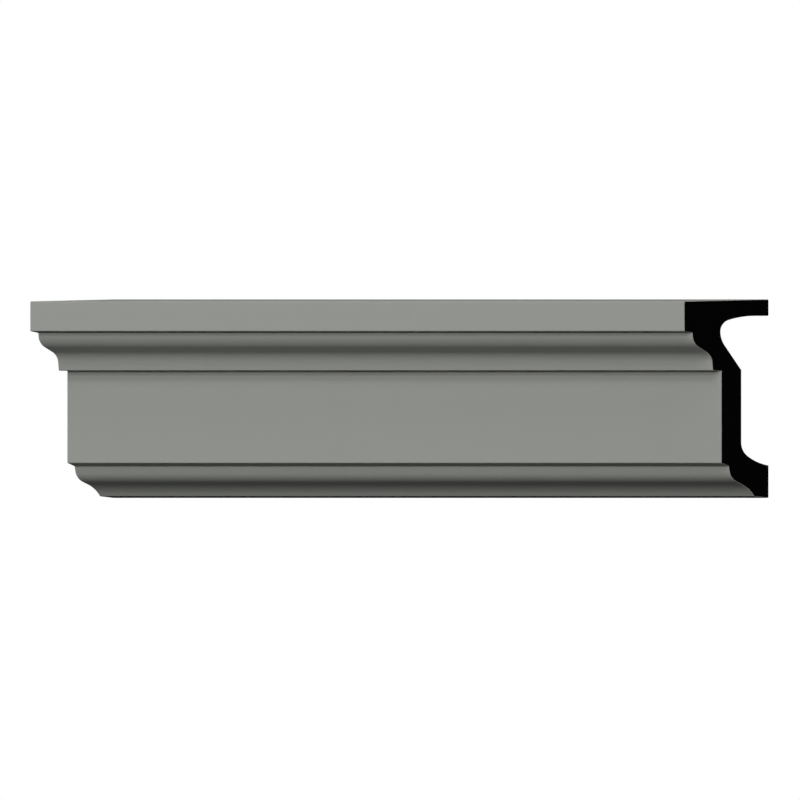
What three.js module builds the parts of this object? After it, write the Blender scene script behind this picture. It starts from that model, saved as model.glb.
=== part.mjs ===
import * as THREE from 'three';

// A cast panel moulding with a hollow back, cut at both ends by the same mitre.
// Sizes are in millimetres and angles in degrees.
// X runs along the moulding, its face looks along -Y, the wall is the plane Y = 0, and Z is up.
// The origin is the middle of the lower strip that bears on the wall.

// Whole moulding
const height = 127;
const projection = 54;
const wallLength = 418;
const mitreAngle = 45;

// Top band: its top and underside are a little out of level, so that the cast leaves its mould
const topFall = 1.3;
const bandHeight = 19.1;
const bandDepth = 5.1;
const bandUndersideFall = 1.1;

// Ogee between the top band and the frieze, and the lip under it
const upperOgee = {
  run: 13.1,
  drop: 24.1,
  lead: 2.4,
  leadDraft: 4,
  crownRadius: 8.8,
  coveRadius: 8.2,
  tail: 5.7,
  tailDraft: 4.5,
};
const lipDepth = 5.5;
const lipFall = 0.1;

// Step and ogee below the frieze, down to the foot
const stepDepth = 4.6;
const stepFall = 2.1;
const baseOgee = {
  run: 16.3,
  drop: 19.2,
  lead: 3.5,
  leadDraft: 9,
  crownRadius: 9,
  coveRadius: 17.6,
  tail: 1.3,
  tailDraft: 32,
};
const footFall = 1.1;

// Hollow back: the wall behind the frieze, the two strips that bear on the wall of the room, the
// swept heel over the lower strip and the rounded pocket under the upper one
const friezeWall = 12.9;
const lowerStrip = 20.9;
const upperStrip = 10.6;
const heel = {
  rise: 11,
  sweepRadius: 31,
  sweepTurn: 26,
  filletRadius: 11,
};
const pocket = {
  cover: 18.2,
  ceilingRadius: 56,
  ceilingTurn: 17.5,
  noseRadius: 7.7,
  throatRadius: 16,
  throatSlope: 34,
};

// Finish, and the turn of a round surface that one facet takes
const primerGrey = 0x949691;
const primerRoughness = 0.6;
const facetAngle = 5;

const { degToRad } = THREE.MathUtils;
const quarterTurn = Math.PI / 2;

// The section's outline as a run of points: depth from the front, and height above the foot
class Outline {
  constructor(depth, rise) {
    this.points = [new THREE.Vector2(depth, rise)];
  }

  get tip() {
    return this.points[this.points.length - 1];
  }

  lineTo(depth, rise) {
    this.points.push(new THREE.Vector2(depth, rise));
    return this;
  }

  lineBy(deeper, higher) {
    return this.lineTo(this.tip.x + deeper, this.tip.y + higher);
  }

  // An arc from the tip that leaves at one heading and ends at another, both turned from +depth
  arc(radius, heading, endHeading) {
    const turn = endHeading - heading;
    const toLeft = (angle) => new THREE.Vector2(-Math.sin(angle), Math.cos(angle));
    const reach = Math.sign(turn) * radius;
    const centre = this.tip.clone().addScaledVector(toLeft(heading), reach);
    const facets = Math.max(1, Math.ceil(Math.abs(turn) / degToRad(facetAngle)));
    for (let facet = 1; facet <= facets; facet += 1) {
      const angle = heading + (turn * facet) / facets;
      this.points.push(centre.clone().addScaledVector(toLeft(angle), -reach));
    }
    return this;
  }
}

// The share of its radii that a pair of curves keeps where the room for them is short
function shareThatFits(room, needed) {
  return Math.min(1, room / needed);
}

// An ogee down and back from the tip: a straight lead, a round crown, a waist line that touches both
// curves, a hollow cove and a straight tail. Drafts are counted from plumb.
function addOgee(outline, { run, drop, lead, leadDraft, crownRadius, coveRadius, tail, tailDraft }) {
  const downward = (angle) => new THREE.Vector2(Math.sin(angle), -Math.cos(angle));
  const inward = (angle) => new THREE.Vector2(Math.cos(angle), Math.sin(angle));
  const first = degToRad(leadDraft);
  const last = degToRad(tailDraft);
  const end = outline.tip.clone().add(new THREE.Vector2(run, -drop));
  const crownStart = outline.tip.clone().addScaledVector(downward(first), lead);
  const coveEnd = end.clone().addScaledVector(downward(last), -tail);

  // Without room for a waist line, the curves keep the share of their radii at which they touch
  const chord = coveEnd.clone().sub(crownStart);
  const swing = inward(first).multiplyScalar(crownRadius).addScaledVector(inward(last), coveRadius);
  const along = chord.dot(swing);
  const spread = (crownRadius + coveRadius) ** 2 - swing.lengthSq();
  const needed = along + Math.sqrt(along * along + spread * chord.lengthSq());
  const share = shareThatFits(chord.lengthSq(), needed);
  const crown = crownRadius * share;
  const cove = coveRadius * share;

  const centres = chord.clone().addScaledVector(inward(first), -crown).addScaledVector(inward(last), -cove);
  const slant = Math.atan2(centres.x, -centres.y);
  const waist = slant + Math.asin(Math.min(1, (crown + cove) / centres.length()));
  const coveStart = coveEnd.clone().addScaledVector(inward(last), -cove).addScaledVector(inward(waist), cove);
  outline.lineTo(crownStart.x, crownStart.y);
  outline.arc(crown, first - quarterTurn, waist - quarterTurn);
  outline.lineTo(coveStart.x, coveStart.y);
  outline.arc(cove, waist - quarterTurn, last - quarterTurn);
  return outline.lineTo(end.x, end.y);
}

// The top of the heel, from the lower strip forward and up to the back of the frieze wall
function addHeel(outline, wallBack) {
  const rise = degToRad(heel.rise);
  const swept = rise + degToRad(heel.sweepTurn);
  const room = outline.tip.x - wallBack;
  const needed = heel.sweepRadius * (Math.sin(swept) - Math.sin(rise)) + heel.filletRadius * (1 - Math.sin(swept));
  const share = shareThatFits(room, needed);
  const straight = room - needed * share;
  outline.lineBy(-straight, straight * Math.tan(rise));
  outline.arc(heel.sweepRadius * share, Math.PI - rise, Math.PI - swept);
  return outline.arc(heel.filletRadius * share, Math.PI - swept, quarterTurn);
}

// The pocket behind the upper ogee, from the back of the frieze wall up to the upper strip
function addPocket(outline, wallBack) {
  const ceiling = height - upperStrip;
  const noseDepth = bandDepth + pocket.cover;
  const turn = degToRad(pocket.ceilingTurn);
  const slope = degToRad(pocket.throatSlope);
  const needed = pocket.ceilingRadius * Math.sin(turn) + pocket.noseRadius * (1 - Math.sin(turn));
  const share = shareThatFits(projection - noseDepth, needed);
  const ceilingRadius = pocket.ceilingRadius * share;
  const noseRadius = pocket.noseRadius * share;
  const noseRise = ceiling - ceilingRadius * (1 - Math.cos(turn)) - noseRadius * Math.cos(turn);
  const throatDepth = noseDepth + pocket.throatRadius * (1 - Math.cos(slope));
  const throatRise = noseRise - pocket.throatRadius * Math.sin(slope);
  outline.lineTo(wallBack, throatRise - (wallBack - throatDepth) / Math.tan(slope));
  outline.lineTo(throatDepth, throatRise);
  outline.arc(pocket.throatRadius, quarterTurn + slope, quarterTurn);
  outline.arc(noseRadius, quarterTurn, turn);
  outline.arc(ceilingRadius, turn, 0);
  return outline.lineTo(projection, ceiling);
}

function section() {
  const outline = new Outline(projection, height);
  outline.lineTo(0, height - topFall);
  outline.lineBy(0, -bandHeight);
  outline.lineBy(bandDepth, -bandUndersideFall);
  addOgee(outline, upperOgee);
  outline.lineBy(lipDepth, -lipFall);
  const friezeDepth = outline.tip.x;
  const friezeFoot = footFall + baseOgee.drop + stepFall;
  outline.lineTo(friezeDepth, friezeFoot);
  outline.lineBy(stepDepth, -stepFall);
  addOgee(outline, baseOgee);
  outline.lineTo(projection, 0);
  outline.lineTo(projection, lowerStrip);
  addHeel(outline, friezeDepth + friezeWall);
  addPocket(outline, friezeDepth + friezeWall);
  return new THREE.Shape(outline.points);
}

// Stands the section up in depth and height, and moves each point along X by its depth times the
// mitre's slope. Both ends are then cut on the slant in plan, and the section square to X stays true.
function placement() {
  const mitreSlope = Math.tan(degToRad(mitreAngle));
  return new THREE.Matrix4().set(
    mitreSlope, 0, 1, -wallLength / 2 - projection * mitreSlope,
    1, 0, 0, -projection,
    0, 1, 0, -lowerStrip / 2,
    0, 0, 0, 1,
  );
}

function panelMoulding() {
  const geometry = new THREE.ExtrudeGeometry(section(), { depth: wallLength, bevelEnabled: false });
  geometry.applyMatrix4(placement());
  const primedUrethane = new THREE.MeshStandardMaterial({
    color: primerGrey,
    roughness: primerRoughness,
    metalness: 0,
  });
  const mesh = new THREE.Mesh(geometry, primedUrethane);
  mesh.name = 'panel_moulding';
  return mesh;
}

const moulding = new THREE.Group();
moulding.add(panelMoulding());

export default moulding;
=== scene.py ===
"""A cast panel moulding with a hollow back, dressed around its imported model.

The moulding is one length of rigid urethane foam, cast in a mould, sprayed with a grey primer and
sawn at both ends by the same mitre. Lengths in the size classes are millimetres, and the meshes are
metres in the row frame: X along the moulding, its face towards -Y, the wall at Y = 0, Z up.
"""

import logging
import math
from dataclasses import dataclass, field
from enum import Enum
from typing import Any, Iterable, Optional

import bpy
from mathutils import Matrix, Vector


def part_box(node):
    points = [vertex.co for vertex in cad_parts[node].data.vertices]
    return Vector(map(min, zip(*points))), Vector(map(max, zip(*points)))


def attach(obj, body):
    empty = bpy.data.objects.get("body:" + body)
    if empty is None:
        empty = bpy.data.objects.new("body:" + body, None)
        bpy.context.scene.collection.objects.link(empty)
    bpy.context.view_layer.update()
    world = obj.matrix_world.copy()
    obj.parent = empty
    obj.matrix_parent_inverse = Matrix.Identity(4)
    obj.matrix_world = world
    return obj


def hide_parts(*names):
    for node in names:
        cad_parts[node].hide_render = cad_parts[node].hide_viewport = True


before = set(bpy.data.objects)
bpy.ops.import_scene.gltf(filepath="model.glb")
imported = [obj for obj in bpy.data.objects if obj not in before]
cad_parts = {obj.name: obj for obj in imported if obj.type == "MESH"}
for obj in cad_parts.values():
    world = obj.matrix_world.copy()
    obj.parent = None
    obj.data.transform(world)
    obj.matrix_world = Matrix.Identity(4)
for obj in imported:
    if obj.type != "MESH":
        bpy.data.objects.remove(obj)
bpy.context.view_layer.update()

log = logging.getLogger("panel_moulding")

MM = 0.001
# The width of one ring of the wave texture at a scale of 1
WAVE_WIDTH = math.tau / 20
NODE = "panel_moulding"
BODY = "root"


class Skin(Enum):
    """The kinds of surface that the moulding has, in the order of its material slots."""

    FACE = 0
    BACK = 1
    CUT = 2


def linear_colour(hex_colour: str) -> tuple[float, float, float, float]:
    """Turns an sRGB hex colour to the linear values that shaders take.

    Args:
        hex_colour: Six hex digits after a hash sign.

    Returns:
        Linear red, green and blue, and an alpha of 1.
    """
    channels = [int(hex_colour[place:place + 2], 16) / 255 for place in (1, 3, 5)]
    low_end, knee, offset, power = 12.92, 0.04045, 0.055, 2.4
    linear = [c / low_end if c <= knee else ((c + offset) / (1 + offset)) ** power for c in channels]
    return (*linear, 1.0)


def per_metre(size_mm: float) -> float:
    """Gives the texture scale whose pattern repeats about once in size_mm."""
    return 1 / (size_mm * MM)


def socket(sockets: Iterable[bpy.types.NodeSocket], key: str) -> bpy.types.NodeSocket:
    """Finds a node's socket by its identifier.

    Args:
        sockets: The node's inputs or outputs.
        key: The socket's identifier, which is its name wherever no two are alike.

    Returns:
        The socket.
    """
    return next(item for item in sockets if item.identifier == key)


def add_node(tree: bpy.types.NodeTree, kind: str, values: Optional[dict[str, Any]] = None,
             links: Optional[dict[str, tuple[bpy.types.Node, str]]] = None,
             **settings: Any) -> bpy.types.Node:
    """Adds one node with its settings, constant inputs and links.

    Args:
        tree: The node tree that takes the node.
        kind: The node's type name.
        values: Constant values of its input sockets.
        links: For each linked input socket, the node and the output socket that feed it.
        settings: Properties of the node itself.

    Returns:
        The new node.
    """
    node = tree.nodes.new(kind)
    for name, setting in settings.items():
        setattr(node, name, setting)
    for key, value in (values or {}).items():
        socket(node.inputs, key).default_value = value
    for key, (source, output) in (links or {}).items():
        tree.links.new(socket(source.outputs, output), socket(node.inputs, key))
    return node


def empty_material(name: str) -> bpy.types.Material:
    """Makes a material with an empty node tree.

    Args:
        name: The material's name.

    Returns:
        The material.
    """
    material = bpy.data.materials.new(name)
    material.use_nodes = True
    material.node_tree.nodes.clear()
    return material


@dataclass(frozen=True)
class PrimedUrethane:
    """Grey primer sprayed on the smooth side of cast urethane foam.

    It gives the eye an even, chalky grey that turns softly from light to dark over the ogees, with
    hardly a highlight, and close by the faint stipple of the dried spray.
    """

    colour: str = "#949691"
    thin_colour: str = "#91938E"
    mottle_mm: float = 26.0
    mottle_detail: float = 3.0
    mottle_roughness: float = 0.55
    # Real stipple is about 0.3 mm across, too fine to show, so it is drawn three times as coarse
    stipple_mm: float = 0.9
    stipple_height_mm: float = 0.006
    roughness: float = 0.62
    roughness_swing: float = 0.05
    ior: float = 1.49
    specular: float = 0.22

    def make(self, name: str = "primed_urethane") -> bpy.types.Material:
        """Builds the primer's material.

        Args:
            name: The material's name.

        Returns:
            The material.
        """
        material = empty_material(name)
        tree = material.node_tree
        place = add_node(tree, "ShaderNodeTexCoord")
        mottle = add_node(tree, "ShaderNodeTexNoise",
                          values={"Scale": per_metre(self.mottle_mm), "Detail": self.mottle_detail,
                                  "Roughness": self.mottle_roughness},
                          links={"Vector": (place, "Object")})
        stipple = add_node(tree, "ShaderNodeTexNoise", values={"Scale": per_metre(self.stipple_mm)},
                           links={"Vector": (place, "Object")})
        colour = add_node(tree, "ShaderNodeMix", data_type="RGBA",
                          values={"A_Color": linear_colour(self.thin_colour),
                                  "B_Color": linear_colour(self.colour)},
                          links={"Factor_Float": (mottle, "Fac")})
        roughness = add_node(tree, "ShaderNodeMapRange",
                             values={"To Min": self.roughness - self.roughness_swing,
                                     "To Max": self.roughness + self.roughness_swing},
                             links={"Value": (mottle, "Fac")})
        relief = add_node(tree, "ShaderNodeBump", values={"Distance": self.stipple_height_mm * MM},
                          links={"Height": (stipple, "Fac")})
        shader = add_node(tree, "ShaderNodeBsdfPrincipled",
                          values={"IOR": self.ior, "Specular IOR Level": self.specular},
                          links={"Base Color": (colour, "Result_Color"), "Roughness": (roughness, "Result"),
                                 "Normal": (relief, "Normal")})
        add_node(tree, "ShaderNodeOutputMaterial", links={"Surface": (shader, "BSDF")})
        return material


@dataclass(frozen=True)
class CastBack:
    """The open side of the casting, with only a mist of primer over the foam's skin.

    It gives the eye a slightly darker and blotchier grey than the face, with a pebbled skin and
    scattered pinholes where bubbles reached the surface, each darkened with painted shade for its pit.
    """

    colour: str = "#8E908A"
    blotch_colour: str = "#84867F"
    # Painted shade: the grey that stands for the shadow inside each pinhole's pit
    pinhole_shade_colour: str = "#5E605A"
    blotch_mm: float = 34.0
    blotch_detail: float = 5.0
    blotch_roughness: float = 0.6
    pebble_mm: float = 2.6
    pebble_detail: float = 3.0
    pebble_height_mm: float = 0.05
    pinhole_spacing_mm: float = 7.0
    # The middle of a pinhole, darkened with painted shade, and its soft rim, as shares of the spacing
    pinhole_radius_share: float = 0.055
    pinhole_rim_share: float = 0.088
    roughness: float = 0.78
    ior: float = 1.5
    specular: float = 0.18

    def make(self, name: str = "cast_urethane_back") -> bpy.types.Material:
        """Builds the back's material.

        Args:
            name: The material's name.

        Returns:
            The material.
        """
        material = empty_material(name)
        tree = material.node_tree
        place = add_node(tree, "ShaderNodeTexCoord")
        blotch = add_node(tree, "ShaderNodeTexNoise",
                          values={"Scale": per_metre(self.blotch_mm), "Detail": self.blotch_detail,
                                  "Roughness": self.blotch_roughness},
                          links={"Vector": (place, "Object")})
        pebble = add_node(tree, "ShaderNodeTexNoise",
                          values={"Scale": per_metre(self.pebble_mm), "Detail": self.pebble_detail},
                          links={"Vector": (place, "Object")})
        bubble = add_node(tree, "ShaderNodeTexVoronoi",
                          values={"Scale": per_metre(self.pinhole_spacing_mm)},
                          links={"Vector": (place, "Object")})
        pinhole = add_node(tree, "ShaderNodeMapRange", interpolation_type="SMOOTHSTEP",
                           values={"From Min": self.pinhole_radius_share,
                                   "From Max": self.pinhole_rim_share},
                           links={"Value": (bubble, "Distance")})
        skin = add_node(tree, "ShaderNodeMix", data_type="RGBA",
                        values={"A_Color": linear_colour(self.blotch_colour),
                                "B_Color": linear_colour(self.colour)},
                        links={"Factor_Float": (blotch, "Fac")})
        # Painted shade darkens the middle of each pinhole
        colour = add_node(tree, "ShaderNodeMix", data_type="RGBA",
                          values={"A_Color": linear_colour(self.pinhole_shade_colour)},
                          links={"Factor_Float": (pinhole, "Result"), "B_Color": (skin, "Result_Color")})
        height = add_node(tree, "ShaderNodeMath", operation="MULTIPLY",
                          links={"Value": (pebble, "Fac"), "Value_001": (pinhole, "Result")})
        relief = add_node(tree, "ShaderNodeBump", values={"Distance": self.pebble_height_mm * MM},
                          links={"Height": (height, "Value")})
        shader = add_node(tree, "ShaderNodeBsdfPrincipled",
                          values={"Roughness": self.roughness, "IOR": self.ior,
                                  "Specular IOR Level": self.specular},
                          links={"Base Color": (colour, "Result_Color"), "Normal": (relief, "Normal")})
        add_node(tree, "ShaderNodeOutputMaterial", links={"Surface": (shader, "BSDF")})
        return material


@dataclass(frozen=True)
class SealedCut:
    """A sawn end of the foam, sealed with matt black coating.

    It gives the eye a dense black that swallows the light, so that the section reads as a crisp
    silhouette, and close by the closed cells and the faint arcs left by the saw.
    """

    colour: str = "#010101"
    cell_colour: str = "#040404"
    # Real cells are about 0.2 mm across, too fine to show, so they are drawn over three times as coarse
    cell_mm: float = 0.7
    saw_pitch_mm: float = 2.2
    saw_wander: float = 1.5
    relief_mm: float = 0.05
    relief_strength: float = 0.6
    roughness: float = 0.85
    ior: float = 1.49
    specular: float = 0.03

    def make(self, name: str = "sealed_foam_cut") -> bpy.types.Material:
        """Builds the cut's material.

        Args:
            name: The material's name.

        Returns:
            The material.
        """
        material = empty_material(name)
        tree = material.node_tree
        place = add_node(tree, "ShaderNodeTexCoord")
        cells = add_node(tree, "ShaderNodeTexVoronoi", values={"Scale": per_metre(self.cell_mm)},
                         links={"Vector": (place, "Object")})
        saw = add_node(tree, "ShaderNodeTexWave", wave_type="RINGS", rings_direction="X",
                       values={"Scale": per_metre(self.saw_pitch_mm) * WAVE_WIDTH,
                               "Distortion": self.saw_wander},
                       links={"Vector": (place, "Object")})
        colour = add_node(tree, "ShaderNodeMix", data_type="RGBA",
                          values={"A_Color": linear_colour(self.colour),
                                  "B_Color": linear_colour(self.cell_colour)},
                          links={"Factor_Float": (cells, "Distance")})
        height = add_node(tree, "ShaderNodeMath", operation="ADD",
                          links={"Value": (cells, "Distance"), "Value_001": (saw, "Fac")})
        relief = add_node(tree, "ShaderNodeBump",
                          values={"Strength": self.relief_strength, "Distance": self.relief_mm * MM},
                          links={"Height": (height, "Value")})
        shader = add_node(tree, "ShaderNodeBsdfPrincipled",
                          values={"Roughness": self.roughness, "IOR": self.ior,
                                  "Specular IOR Level": self.specular},
                          links={"Base Color": (colour, "Result_Color"), "Normal": (relief, "Normal")})
        add_node(tree, "ShaderNodeOutputMaterial", links={"Surface": (shader, "BSDF")})
        return material


@dataclass(frozen=True)
class Stop:
    """A point of the section, with the heading of the outline there and the skin that follows it."""

    depth: float
    rise: float
    heading: float
    skin: Skin


@dataclass
class Outline:
    """The section's outline, drawn as a pen draws it, in depth from the front and rise from the foot."""

    facet_degrees: float = 3.0
    points: list[Vector] = field(default_factory=list)
    skins: list[Skin] = field(default_factory=list)
    skin: Skin = Skin.FACE

    @property
    def tip(self) -> Vector:
        """The last point drawn."""
        return self.points[-1]

    def line_to(self, depth: float, rise: float) -> None:
        """Draws a straight line to a place in the section."""
        self.points.append(Vector((depth, rise)))
        self.skins.append(self.skin)

    def line_by(self, deeper: float, higher: float) -> None:
        """Draws a straight line that ends so much deeper and higher."""
        self.line_to(self.tip.x + deeper, self.tip.y + higher)

    def arc(self, radius: float, heading: float, end_heading: float) -> None:
        """Draws an arc from the tip.

        Args:
            radius: Its radius in millimetres.
            heading: The heading at which it leaves the tip, in radians from straight back.
            end_heading: The heading at which it ends.
        """
        turn = end_heading - heading
        reach = math.copysign(radius, turn)
        centre = self.tip + reach * Vector((-math.sin(heading), math.cos(heading)))
        facets = max(1, math.ceil(abs(turn) / math.radians(self.facet_degrees)))
        for facet in range(1, facets + 1):
            angle = heading + turn * facet / facets
            point = centre - reach * Vector((-math.sin(angle), math.cos(angle)))
            self.line_to(point.x, point.y)


@dataclass(frozen=True)
class Ogee:
    """An S-shaped moulding: a straight lead, a round crown, a hollow cove and a straight tail."""

    run: float
    drop: float
    lead: float
    lead_draft: float
    crown_radius: float
    cove_radius: float
    tail: float
    tail_draft: float

    def draw(self, outline: Outline) -> None:
        """Draws the ogee down and back from the outline's tip.

        Args:
            outline: The outline that the ogee continues.
        """
        first, last = math.radians(self.lead_draft), math.radians(self.tail_draft)
        end = outline.tip + Vector((self.run, -self.drop))
        crown_start = outline.tip + self.lead * Vector((math.sin(first), -math.cos(first)))
        cove_end = end - self.tail * Vector((math.sin(last), -math.cos(last)))
        crown_centre = crown_start + self.crown_radius * Vector((math.cos(first), math.sin(first)))
        cove_centre = cove_end - self.cove_radius * Vector((math.cos(last), math.sin(last)))
        between = cove_centre - crown_centre
        slant = math.atan2(between.x, -between.y)
        waist = slant + math.asin(min(1.0, (self.crown_radius + self.cove_radius) / between.length))
        cove_start = cove_centre + self.cove_radius * Vector((math.cos(waist), math.sin(waist)))
        plumb = math.pi / 2
        outline.line_to(*crown_start)
        outline.arc(self.crown_radius, first - plumb, waist - plumb)
        outline.line_to(*cove_start)
        outline.arc(self.cove_radius, waist - plumb, last - plumb)
        outline.line_to(*end)


@dataclass(frozen=True)
class TopBand:
    """The flat band along the top, with the small falls that let the cast leave its mould."""

    top_fall: float = 1.3
    height: float = 19.1
    depth: float = 5.1
    underside_fall: float = 1.1

    def draw(self, outline: Outline) -> None:
        """Draws the top face, the band and its underside.

        Args:
            outline: The outline, with its tip at the top of the wall side.
        """
        outline.line_to(0.0, outline.tip.y - self.top_fall)
        outline.line_by(0.0, -self.height)
        outline.line_by(self.depth, -self.underside_fall)


@dataclass(frozen=True)
class Frieze:
    """The flat frieze between the ogees, the lip over it and the step below it."""

    lip_depth: float = 5.5
    lip_fall: float = 0.1
    step_depth: float = 4.6
    step_fall: float = 2.1
    wall: float = 12.9

    def draw(self, outline: Outline, foot: float) -> float:
        """Draws the lip, the frieze down to its foot and the step.

        Args:
            outline: The outline that the frieze continues.
            foot: The height of the frieze's lower edge.

        Returns:
            The depth at which the frieze lies.
        """
        outline.line_by(self.lip_depth, -self.lip_fall)
        depth = outline.tip.x
        outline.line_to(depth, foot)
        outline.line_by(self.step_depth, -self.step_fall)
        return depth


@dataclass(frozen=True)
class Heel:
    """The swept top of the lower strip, inside the hollow back."""

    strip: float = 20.9
    rise_angle: float = 11.0
    sweep_radius: float = 31.0
    sweep_turn: float = 26.0
    fillet_radius: float = 11.0

    def draw(self, outline: Outline, wall_back: float) -> None:
        """Draws the lower strip and the heel forward to the back of the frieze wall.

        Args:
            outline: The outline, with its tip at the foot's back edge.
            wall_back: The depth of the frieze wall's back.
        """
        outline.line_by(0.0, self.strip)
        rise = math.radians(self.rise_angle)
        swept = rise + math.radians(self.sweep_turn)
        curves = (self.sweep_radius * (math.sin(swept) - math.sin(rise))
                  + self.fillet_radius * (1 - math.sin(swept)))
        straight = outline.tip.x - wall_back - curves
        outline.line_by(-straight, straight * math.tan(rise))
        outline.arc(self.sweep_radius, math.pi - rise, math.pi - swept)
        outline.arc(self.fillet_radius, math.pi - swept, math.pi / 2)


@dataclass(frozen=True)
class Pocket:
    """The rounded pocket behind the upper ogee, under the upper strip."""

    strip: float = 10.6
    nose_depth: float = 23.3
    ceiling_radius: float = 56.0
    ceiling_turn: float = 17.5
    nose_radius: float = 7.7
    throat_radius: float = 16.0
    throat_slope: float = 34.0

    def draw(self, outline: Outline, wall_back: float, projection: float, height: float) -> None:
        """Draws the pocket from the frieze wall up and back to the upper strip.

        Args:
            outline: The outline, with its tip on the back of the frieze wall.
            wall_back: The depth of the frieze wall's back.
            projection: The depth of the wall plane.
            height: The moulding's height.
        """
        ceiling = height - self.strip
        turn, slope = math.radians(self.ceiling_turn), math.radians(self.throat_slope)
        nose_rise = ceiling - self.ceiling_radius * (1 - math.cos(turn)) - self.nose_radius * math.cos(turn)
        throat_depth = self.nose_depth + self.throat_radius * (1 - math.cos(slope))
        throat_rise = nose_rise - self.throat_radius * math.sin(slope)
        plumb = math.pi / 2
        outline.line_to(wall_back, throat_rise - (wall_back - throat_depth) / math.tan(slope))
        outline.line_to(throat_depth, throat_rise)
        outline.arc(self.throat_radius, plumb + slope, plumb)
        outline.arc(self.nose_radius, plumb, turn)
        outline.arc(self.ceiling_radius, turn, 0.0)
        outline.line_to(projection, ceiling)


@dataclass(frozen=True)
class Section:
    """The moulding's section, with the small rounds that primer leaves on edges and in inside corners."""

    band: TopBand = TopBand()
    upper_ogee: Ogee = Ogee(run=13.1, drop=24.1, lead=2.4, lead_draft=4.0,
                            crown_radius=8.8, cove_radius=8.2, tail=5.7, tail_draft=4.5)
    frieze: Frieze = Frieze()
    base_ogee: Ogee = Ogee(run=16.3, drop=19.2, lead=3.5, lead_draft=9.0,
                           crown_radius=9.0, cove_radius=17.6, tail=1.3, tail_draft=32.0)
    foot_fall: float = 1.1
    heel: Heel = Heel()
    pocket: Pocket = Pocket()
    arris_radius: float = 0.7
    inside_corner_radius: float = 0.3
    arris_facets: int = 5
    # The most of a short edge that the round at one of its ends may take
    share_of_edge: float = 0.45
    # A corner that turns by less belongs to a curve and isn't rounded
    sharp_degrees: float = 12.0
    longest_facet: float = 6.0

    def outline(self, height: float, projection: float) -> Outline:
        """Draws the section with sharp corners.

        Args:
            height: The moulding's height.
            projection: Its depth from the front to the wall.

        Returns:
            The closed outline, whose first point is at the top of the wall side.
        """
        outline = Outline(points=[Vector((projection, height))])
        self.band.draw(outline)
        self.upper_ogee.draw(outline)
        frieze_foot = self.foot_fall + self.base_ogee.drop + self.frieze.step_fall
        frieze_depth = self.frieze.draw(outline, frieze_foot)
        self.base_ogee.draw(outline)
        outline.line_to(projection, 0.0)
        wall_back = frieze_depth + self.frieze.wall
        outline.skin = Skin.BACK
        self.heel.draw(outline, wall_back)
        self.pocket.draw(outline, wall_back, projection, height)
        # The upper strip closes the outline
        outline.skins.append(Skin.BACK)
        return outline

    def stops(self, height: float, projection: float) -> list[Stop]:
        """Rounds the arrises and divides the long faces.

        Args:
            height: The moulding's height.
            projection: Its depth from the front to the wall.

        Returns:
            The section's points in order, each with its heading and the skin of the face after it.
        """
        outline = self.outline(height, projection)
        points, skins = outline.points, outline.skins
        stops: list[Stop] = []
        for place, point in enumerate(points):
            before, after = points[place - 1], points[(place + 1) % len(points)]
            into, out = point - before, after - point
            heading = math.atan2(into.y, into.x)
            turn = math.remainder(math.atan2(out.y, out.x) - heading, math.tau)
            if abs(turn) < math.radians(self.sharp_degrees):
                stops.append(Stop(point.x, point.y, heading + turn / 2, skins[place]))
            else:
                stops.extend(self.arris(point, into, out, heading, turn, skins[place]))
        return self.divided(stops)

    def arris(self, corner: Vector, into: Vector, out: Vector, heading: float, turn: float,
              skin: Skin) -> list[Stop]:
        """Rounds one sharp corner.

        Args:
            corner: The corner's place.
            into: The edge that arrives there.
            out: The edge that leaves it.
            heading: The heading of the edge that arrives.
            turn: The angle that the outline turns there.
            skin: The skin of the edge that leaves.

        Returns:
            The points of the small arc that takes the corner's place.
        """
        half_turn = math.tan(abs(turn) / 2)
        radius = self.arris_radius if turn > 0 else self.inside_corner_radius
        room = min(into.length, out.length) * self.share_of_edge
        setback = min(radius * half_turn, room)
        reach = math.copysign(setback / half_turn, turn)
        start = corner - into.normalized() * setback
        centre = start + reach * Vector((-math.sin(heading), math.cos(heading)))
        stops: list[Stop] = []
        for facet in range(self.arris_facets + 1):
            angle = heading + turn * facet / self.arris_facets
            point = centre - reach * Vector((-math.sin(angle), math.cos(angle)))
            stops.append(Stop(point.x, point.y, angle, skin))
        return stops

    def divided(self, stops: list[Stop]) -> list[Stop]:
        """Divides each face that is longer than the longest facet.

        Args:
            stops: The section's points.

        Returns:
            The points with others between them on the long faces.
        """
        result: list[Stop] = []
        for place, stop in enumerate(stops):
            after = stops[(place + 1) % len(stops)]
            result.append(stop)
            run, climb = after.depth - stop.depth, after.rise - stop.rise
            parts = math.ceil(math.hypot(run, climb) / self.longest_facet)
            heading = math.atan2(climb, run)
            for part in range(1, parts):
                share = part / parts
                result.append(Stop(stop.depth + run * share, stop.rise + climb * share, heading, stop.skin))
        return result


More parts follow.
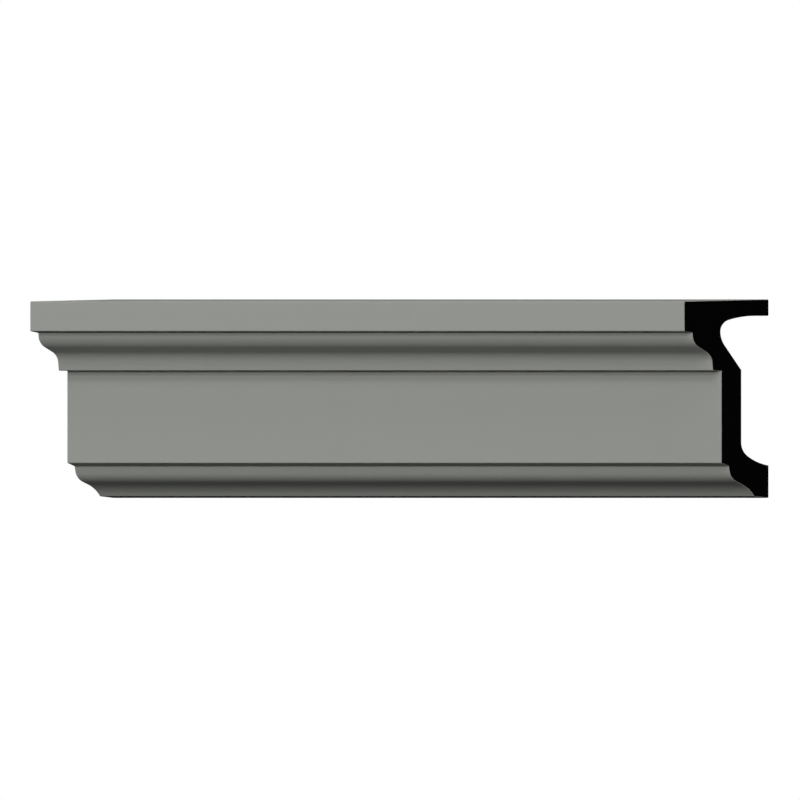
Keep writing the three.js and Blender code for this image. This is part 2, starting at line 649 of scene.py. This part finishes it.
@dataclass
class PanelMoulding:
    """The cast length of moulding, with its primed face, its hollow back and its sawn ends.

    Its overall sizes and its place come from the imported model.
    """

    section: Section = Section()
    mitre_degrees: float = 45.0
    cut_arris_radius: float = 0.25
    cut_arris_facets: int = 3
    ring_spacing: float = 9.0
    face_finish: PrimedUrethane = PrimedUrethane()
    back_finish: CastBack = CastBack()
    cut_finish: SealedCut = SealedCut()
    height: float = field(init=False)
    projection: float = field(init=False)
    mitre_slope: float = field(init=False)
    foot: float = field(init=False)
    start: float = field(init=False)
    length: float = field(init=False)

    def __post_init__(self) -> None:
        """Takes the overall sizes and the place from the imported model."""
        low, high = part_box(NODE)
        self.height = (high.z - low.z) / MM
        self.projection = (high.y - low.y) / MM
        self.mitre_slope = math.tan(math.radians(self.mitre_degrees))
        self.foot = low.z / MM
        self.start = low.x / MM + self.projection * self.mitre_slope
        self.length = high.x / MM - self.start

    def rings(self) -> list[tuple[float, float, float]]:
        """Lists the rings along the length, with the small arrises at the cuts.

        Returns:
            For each ring its distance along the wall, how far its points lie inside the section, and
            the tilt of its normals along the length in radians.
        """
        radius, facets = self.cut_arris_radius, self.cut_arris_facets
        tilts = [facet / facets * math.pi / 2 for facet in range(facets, -1, -1)]
        near_end = [(radius * (1 - math.sin(tilt)), radius * (1 - math.cos(tilt)), tilt) for tilt in tilts]
        between_arrises = self.length - 2 * radius
        spans = math.ceil(between_arrises / self.ring_spacing)
        middle = [(radius + between_arrises / spans * span, 0.0, 0.0) for span in range(1, spans)]
        return ([(along, inset, -tilt) for along, inset, tilt in near_end] + middle
                + [(self.length - along, inset, tilt) for along, inset, tilt in reversed(near_end)])

    def place(self, stop: Stop, along: float, inset: float, tilt: float) -> tuple[Vector, Vector]:
        """Places one point of one ring, moved along X by its depth times the mitre's slope.

        Args:
            stop: The point of the section.
            along: The ring's distance along the wall.
            inset: How far the point lies inside the section.
            tilt: The tilt of its normal along the length.

        Returns:
            The point in metres in the row frame, and its outward normal.
        """
        outward = Vector((math.sin(stop.heading), -math.cos(stop.heading)))
        depth = stop.depth - outward.x * inset - self.projection
        rise = stop.rise - outward.y * inset + self.foot
        point = Vector((self.start + along + depth * self.mitre_slope, depth, rise)) * MM
        lengthwise, across = math.sin(tilt), outward * math.cos(tilt)
        normal = Vector((lengthwise, across.x - self.mitre_slope * lengthwise, across.y))
        return point, normal.normalized()

    def mesh(self) -> bpy.types.Mesh:
        """Sweeps the section along the length and closes the two cuts.

        Returns:
            The moulding's mesh, with exact normals.
        """
        stops = self.section.stops(self.height, self.projection)
        rings = self.rings()
        placed = [self.place(stop, *ring) for ring in rings for stop in stops]
        count = len(stops)
        faces: list[tuple[int, ...]] = []
        skins: list[int] = []
        for ring in range(len(rings) - 1):
            for place, stop in enumerate(stops):
                here, there = ring * count + place, ring * count + (place + 1) % count
                faces.append((here, there, there + count, here + count))
                skins.append(stop.skin.value)
        last_ring = (len(rings) - 1) * count
        faces.append(tuple(reversed(range(count))))
        faces.append(tuple(range(last_ring, last_ring + count)))
        skins += [Skin.CUT.value] * 2
        mesh = bpy.data.meshes.new("panel_moulding_cast")
        mesh.from_pydata([point for point, _ in placed], [], faces)
        mesh.polygons.foreach_set("material_index", skins)
        mesh.polygons.foreach_set("use_smooth", [True] * len(faces))
        mesh.normals_split_custom_set_from_vertices([normal for _, normal in placed])
        mesh.validate()
        return mesh

    def build(self) -> bpy.types.Object:
        """Builds the moulding, dresses it and sets it in place of its plain solid.

        Returns:
            The moulding.
        """
        mesh = self.mesh()
        finishes = {Skin.FACE: self.face_finish, Skin.BACK: self.back_finish, Skin.CUT: self.cut_finish}
        for skin in Skin:
            mesh.materials.append(finishes[skin].make())
        piece = bpy.data.objects.new("panel_moulding_cast", mesh)
        bpy.context.scene.collection.objects.link(piece)
        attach(piece, BODY)
        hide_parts(NODE)
        return piece


@dataclass(frozen=True)
class SoftLight:
    """A soft box that looks at the moulding from a given side.

    One that only fills the shade behind the moulding gives no highlight, because it would glare at a
    low slant off the top face. Its width, height and distance are metres, and its angles degrees.
    """

    name: str
    azimuth: float
    elevation: float
    width: float
    height: float
    watts: float
    distance: float = 3.0
    colour: str = "#FFFFFF"
    gives_highlight: bool = True

    def build(self, target: Vector) -> bpy.types.Object:
        """Hangs the light.

        Args:
            target: The place that the light looks at, in metres.

        Returns:
            The light.
        """
        around, above = math.radians(self.azimuth), math.radians(self.elevation)
        away = Vector((math.sin(around) * math.cos(above), -math.cos(around) * math.cos(above),
                       math.sin(above)))
        data = bpy.data.lights.new(self.name, "AREA")
        data.shape = "RECTANGLE"
        data.size, data.size_y = self.width, self.height
        data.energy = self.watts
        data.color = linear_colour(self.colour)[:3]
        light = bpy.data.objects.new(self.name, data)
        light.location = target + away * self.distance
        light.rotation_euler = (-away).to_track_quat("-Z", "Y").to_euler()
        light.visible_glossy = self.gives_highlight
        bpy.context.scene.collection.objects.link(light)
        return light


@dataclass(frozen=True)
class Floor:
    """The white paper sweep that the moulding stands on, which goes over into the white surround.

    Close to the moulding it is matt paper that takes a soft shadow, and far off it is as white as the
    surround, so that no horizon shows. Its width and the two distances are metres.
    """

    width: float = 9.0
    colour: str = "#F2F2F0"
    surround: str = "#FFFFFF"
    roughness: float = 0.9
    white_share_near: float = 0.35
    near: float = 0.16
    far: float = 0.62

    def paper(self) -> bpy.types.Material:
        """Builds the paper's material, which whitens from the near to the far distance.

        Returns:
            The material.
        """
        material = empty_material("matt_paper_sweep")
        tree = material.node_tree
        place = add_node(tree, "ShaderNodeTexCoord")
        distance = add_node(tree, "ShaderNodeVectorMath", operation="LENGTH",
                            links={"Vector": (place, "Object")})
        whitening = add_node(tree, "ShaderNodeMapRange", interpolation_type="SMOOTHSTEP",
                             values={"From Min": self.near, "From Max": self.far,
                                     "To Min": self.white_share_near},
                             links={"Value": (distance, "Value")})
        paper = add_node(tree, "ShaderNodeBsdfPrincipled",
                         values={"Base Color": linear_colour(self.colour), "Roughness": self.roughness})
        white = add_node(tree, "ShaderNodeEmission", values={"Color": linear_colour(self.surround)})
        sweep = add_node(tree, "ShaderNodeMixShader",
                         links={"Fac": (whitening, "Result"), "Shader": (paper, "BSDF"),
                                "Shader_001": (white, "Emission")})
        add_node(tree, "ShaderNodeOutputMaterial", links={"Surface": (sweep, "Shader")})
        return material

    def build(self, height: float) -> bpy.types.Object:
        """Lays the floor, which bounces no light up at the moulding's undersides.

        Args:
            height: The floor's height in metres.

        Returns:
            The floor.
        """
        half = self.width / 2
        mesh = bpy.data.meshes.new("studio_floor")
        corners = [(x, y, height) for x, y in ((-half, -half), (half, -half), (half, half), (-half, half))]
        mesh.from_pydata(corners, [], [(0, 1, 2, 3)])
        mesh.materials.append(self.paper())
        floor = bpy.data.objects.new("studio_floor", mesh)
        floor.visible_diffuse = False
        floor.visible_glossy = False
        bpy.context.scene.collection.objects.link(floor)
        return floor


@dataclass(frozen=True)
class Backdrop:
    """The white surround: plain white to look at, and a dim fill light from above and below."""

    seen: str = "#FFFFFF"
    above: str = "#FFFFFF"
    below: str = "#E4FFE8"
    above_strength: float = 0.03
    below_strength: float = 0.004
    # The two fills blend this far above and below the horizon, as a share of the surround's radius
    horizon_blend: float = 0.2

    def build(self) -> None:
        """Sets the world."""
        world = bpy.data.worlds.new("white_surround")
        world.use_nodes = True
        tree = world.node_tree
        tree.nodes.clear()
        place = add_node(tree, "ShaderNodeTexCoord")
        axes = add_node(tree, "ShaderNodeSeparateXYZ", links={"Vector": (place, "Generated")})
        skyward = add_node(tree, "ShaderNodeMapRange",
                           values={"From Min": -self.horizon_blend, "From Max": self.horizon_blend},
                           links={"Value": (axes, "Z")})
        above = add_node(tree, "ShaderNodeBackground",
                         values={"Color": linear_colour(self.above), "Strength": self.above_strength})
        below = add_node(tree, "ShaderNodeBackground",
                         values={"Color": linear_colour(self.below), "Strength": self.below_strength})
        fill = add_node(tree, "ShaderNodeMixShader",
                        links={"Fac": (skyward, "Result"), "Shader": (below, "Background"),
                               "Shader_001": (above, "Background")})
        seen = add_node(tree, "ShaderNodeBackground", values={"Color": linear_colour(self.seen)})
        ray = add_node(tree, "ShaderNodeLightPath")
        surround = add_node(tree, "ShaderNodeMixShader",
                            links={"Fac": (ray, "Is Camera Ray"), "Shader": (fill, "Shader"),
                                   "Shader_001": (seen, "Background")})
        add_node(tree, "ShaderNodeOutputWorld", links={"Surface": (surround, "Shader")})
        bpy.context.scene.world = world


@dataclass(frozen=True)
class FlatOnCamera:
    """The camera: level, straight on to the face and without perspective, as the photograph is.

    Its distance in front of the moulding's middle is in metres.
    """

    image_pixels: float = 800.0
    mm_per_pixel: float = 0.639
    centre_column: float = 398.9
    centre_row: float = 398.2
    distance: float = 1.5

    def build(self, low: Vector, high: Vector) -> bpy.types.Object:
        """Sets the camera so that the moulding lies where the photograph shows it.

        Args:
            low: The moulding's lowest corner.
            high: Its highest corner.

        Returns:
            The camera.
        """
        middle_pixel = (self.image_pixels - 1) / 2
        pixel = self.mm_per_pixel * MM
        centre = (low + high) / 2
        data = bpy.data.cameras.new("flat_on_camera")
        data.type = "ORTHO"
        data.ortho_scale = self.image_pixels * pixel
        camera = bpy.data.objects.new("flat_on_camera", data)
        camera.location = Vector((centre.x + (middle_pixel - self.centre_column) * pixel,
                                  centre.y - self.distance,
                                  centre.z - (middle_pixel - self.centre_row) * pixel))
        camera.rotation_euler = (math.pi / 2, 0.0, 0.0)
        bpy.context.scene.collection.objects.link(camera)
        bpy.context.scene.camera = camera
        return camera


@dataclass(frozen=True)
class Studio:
    """The plain studio around the moulding."""

    camera: FlatOnCamera = FlatOnCamera()
    floor: Floor = Floor()
    backdrop: Backdrop = Backdrop()
    lights: tuple[SoftLight, ...] = (
        SoftLight("low_front_box", azimuth=-4.0, elevation=10.5, width=2.2, height=0.76, watts=44.0),
        SoftLight("middle_front_box", azimuth=-4.0, elevation=30.5, width=2.2, height=0.52, watts=23.0),
        SoftLight("high_front_box", azimuth=-4.0, elevation=53.0, width=2.2, height=0.48, watts=31.0),
        SoftLight("overhead_box", azimuth=-4.0, elevation=71.0, width=2.2, height=0.68, watts=18.0),
        SoftLight("back_fill", azimuth=195.0, elevation=16.0, width=2.0, height=1.4, watts=80.0,
                  gives_highlight=False),
    )

    def build(self) -> None:
        """Sets the camera, the floor, the surround and the lights."""
        low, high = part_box(NODE)
        self.camera.build(low, high)
        self.floor.build(low.z)
        self.backdrop.build()
        for light in self.lights:
            light.build((low + high) / 2)
        bpy.context.scene.view_settings.view_transform = "Standard"


def main() -> None:
    """Builds the studio and the moulding."""
    logging.basicConfig(level=logging.INFO, format="%(name)s: %(message)s")
    studio = Studio()
    studio.build()
    log.info("studio: camera, floor, surround and %d lights", len(studio.lights))
    moulding = PanelMoulding()
    piece = moulding.build()
    log.info("%s: %d faces, %.1f mm along the wall, %.1f mm high, %.1f mm deep", piece.name,
             len(piece.data.polygons), moulding.length, moulding.height, moulding.projection)


if __name__ == "__main__":
    main()
